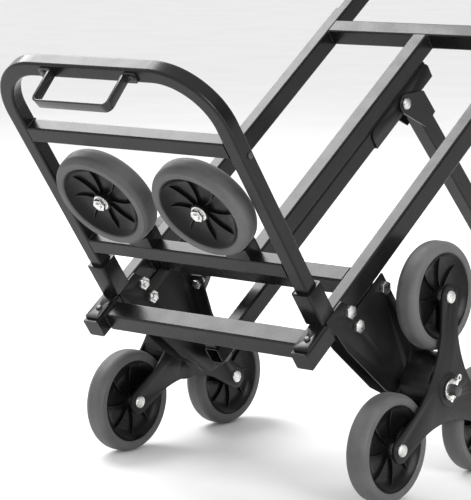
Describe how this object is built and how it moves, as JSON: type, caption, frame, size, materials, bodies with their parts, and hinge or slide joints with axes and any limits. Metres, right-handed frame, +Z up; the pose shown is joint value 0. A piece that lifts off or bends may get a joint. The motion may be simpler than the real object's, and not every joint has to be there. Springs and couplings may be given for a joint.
{
  "type": "stair climbing trolley",
  "caption": "Folding stair climbing trolley with three-wheel star clusters, a toe frame carrying spare wheels, a telescopic rear leg and a pull-out handle.",
  "frame": {"origin": "on the floor, midway between the two sides and midway along the whole length", "axes": "+X towards the right-hand side seen from the toe, -Y towards the toe frame, +Y towards the handle, +Z up"},
  "size_m": [0.551, 1.2509, 0.8701],
  "materials": {
    "frame_paint": "semi-gloss black powder coat",
    "pressed_paint": "satin black powder coat on sheet",
    "zinc": "bright zinc plate",
    "black_steel": "blackened steel",
    "tyre_rubber": "matt dark grey rubber",
    "hub_plastic": "black moulded plastic",
    "strap_paint": "semi-gloss black",
    "grip_rubber": "soft black grip",
    "knob_plastic": "black moulded plastic",
    "button_plastic": "dark grey plastic"
  },
  "bodies": {
    "frame": {"axle_washers": "zinc", "bracket_plates_inner": "pressed_paint", "bracket_plates_outer": "pressed_paint", "centre_rail_lower": "frame_paint", "centre_rail_upper": "frame_paint", "centre_strut": "frame_paint", "frame_bolts": "zinc", "frame_nuts": "zinc", "front_crossbar": "frame_paint", "front_feet": "frame_paint", "leg_bracket": "pressed_paint", "leg_pivot_bolt": "zinc", "lower_crossbar": "frame_paint", "rail_left": "frame_paint", "rail_right": "frame_paint", "spare_wheel_bolts": "zinc", "spare_wheel_posts": "frame_paint", "split_pins": "zinc", "stub_axles": "black_steel", "toe_crossbars": "frame_paint", "toe_hoop": "frame_paint", "toe_screws": "black_steel", "toe_sockets": "frame_paint", "toe_strap": "strap_paint", "top_crossbar": "frame_paint"},
    "star_left": {"star_plates_left": "pressed_paint", "star_sleeve_left": "zinc", "star_pins_left": "zinc", "star_spacers_left": "zinc"},
    "star_right": {"star_plates_right": "pressed_paint", "star_sleeve_right": "zinc", "star_pins_right": "zinc", "star_spacers_right": "zinc"},
    "wheel_left_top": {"tyre_left_top": "tyre_rubber", "hub_left_top": "hub_plastic"},
    "wheel_left_front": {"tyre_left_front": "tyre_rubber", "hub_left_front": "hub_plastic"},
    "wheel_left_back": {"tyre_left_back": "tyre_rubber", "hub_left_back": "hub_plastic"},
    "wheel_right_top": {"tyre_right_top": "tyre_rubber", "hub_right_top": "hub_plastic"},
    "wheel_right_front": {"tyre_right_front": "tyre_rubber", "hub_right_front": "hub_plastic"},
    "wheel_right_back": {"tyre_right_back": "tyre_rubber", "hub_right_back": "hub_plastic"},
    "wheel_spare_left": {"tyre_spare_left": "tyre_rubber", "hub_spare_left": "hub_plastic"},
    "wheel_spare_right": {"tyre_spare_right": "tyre_rubber", "hub_spare_right": "hub_plastic"},
    "wheel_rear_left": {"tyre_rear_left": "tyre_rubber", "hub_rear_left": "hub_plastic"},
    "wheel_rear_right": {"tyre_rear_right": "tyre_rubber", "hub_rear_right": "hub_plastic"},
    "leg": {"leg_outer_tube": "frame_paint"},
    "leg_extension": {"leg_inner_tube": "frame_paint", "rear_axle": "zinc"},
    "leg_knob": {"leg_knob": "knob_plastic"},
    "handle": {"handle_tube": "frame_paint", "handle_grip": "grip_rubber"},
    "handle_button": {"handle_button": "button_plastic"}
  },
  "joints": [
    {"name": "star_turn_left", "type": "hinge", "parent": "frame", "child": "star_left", "pos_m": [-0.2355, -0.1538, 0.13925], "axis": [1, 0, 0], "continuous": true},
    {"name": "wheel_turn_left_top", "type": "hinge", "parent": "star_left", "child": "wheel_left_top", "pos_m": [-0.2355, -0.1538, 0.26775], "axis": [1, 0, 0], "continuous": true},
    {"name": "wheel_turn_left_front", "type": "hinge", "parent": "star_left", "child": "wheel_left_front", "pos_m": [-0.2355, -0.26508, 0.075], "axis": [1, 0, 0], "continuous": true},
    {"name": "wheel_turn_left_back", "type": "hinge", "parent": "star_left", "child": "wheel_left_back", "pos_m": [-0.2355, -0.04252, 0.075], "axis": [1, 0, 0], "continuous": true},
    {"name": "star_turn_right", "type": "hinge", "parent": "frame", "child": "star_right", "pos_m": [0.2355, -0.1538, 0.13925], "axis": [1, 0, 0], "continuous": true},
    {"name": "wheel_turn_right_top", "type": "hinge", "parent": "star_right", "child": "wheel_right_top", "pos_m": [0.2355, -0.1538, 0.26775], "axis": [1, 0, 0], "continuous": true},
    {"name": "wheel_turn_right_front", "type": "hinge", "parent": "star_right", "child": "wheel_right_front", "pos_m": [0.2355, -0.26508, 0.075], "axis": [1, 0, 0], "continuous": true},
    {"name": "wheel_turn_right_back", "type": "hinge", "parent": "star_right", "child": "wheel_right_back", "pos_m": [0.2355, -0.04252, 0.075], "axis": [1, 0, 0], "continuous": true},
    {"name": "spare_turn_left", "type": "hinge", "parent": "frame", "child": "wheel_spare_left", "pos_m": [-0.086, -0.4631, 0.41099], "axis": [0, 0.8192, 0.5736], "continuous": true},
    {"name": "spare_turn_right", "type": "hinge", "parent": "frame", "child": "wheel_spare_right", "pos_m": [0.086, -0.4631, 0.41099], "axis": [0, 0.8192, 0.5736], "continuous": true},
    {"name": "leg_fold", "type": "hinge", "parent": "frame", "child": "leg", "pos_m": [0, 0.08152, 0.50056], "axis": [1, 0, 0], "range_deg": [-95, 0]},
    {"name": "leg_slide", "type": "slide", "parent": "leg", "child": "leg_extension", "axis": [0, 0.6782, -0.7349], "range_m": [-0.25, 0]},
    {"name": "knob_turn", "type": "hinge", "parent": "leg", "child": "leg_knob", "pos_m": [0, 0.33132, 0.30654], "axis": [0, 0.7349, 0.6782], "range_deg": [0, 360]},
    {"name": "rear_turn_left", "type": "hinge", "parent": "leg_extension", "child": "wheel_rear_left", "pos_m": [-0.062, 0.55041, 0.075], "axis": [1, 0, 0], "continuous": true},
    {"name": "rear_turn_right", "type": "hinge", "parent": "leg_extension", "child": "wheel_rear_right", "pos_m": [0.062, 0.55041, 0.075], "axis": [1, 0, 0], "continuous": true},
    {"name": "handle_slide", "type": "slide", "parent": "frame", "child": "handle", "axis": [0, 0.8192, 0.5736], "range_m": [-0.3, 0]},
    {"name": "button_press", "type": "slide", "parent": "handle", "child": "handle_button", "axis": [0, -0.8192, -0.5736], "range_m": [0, 0.003], "stiffness_N_per_m": 500, "springref_m": -0.0005}
  ]
}
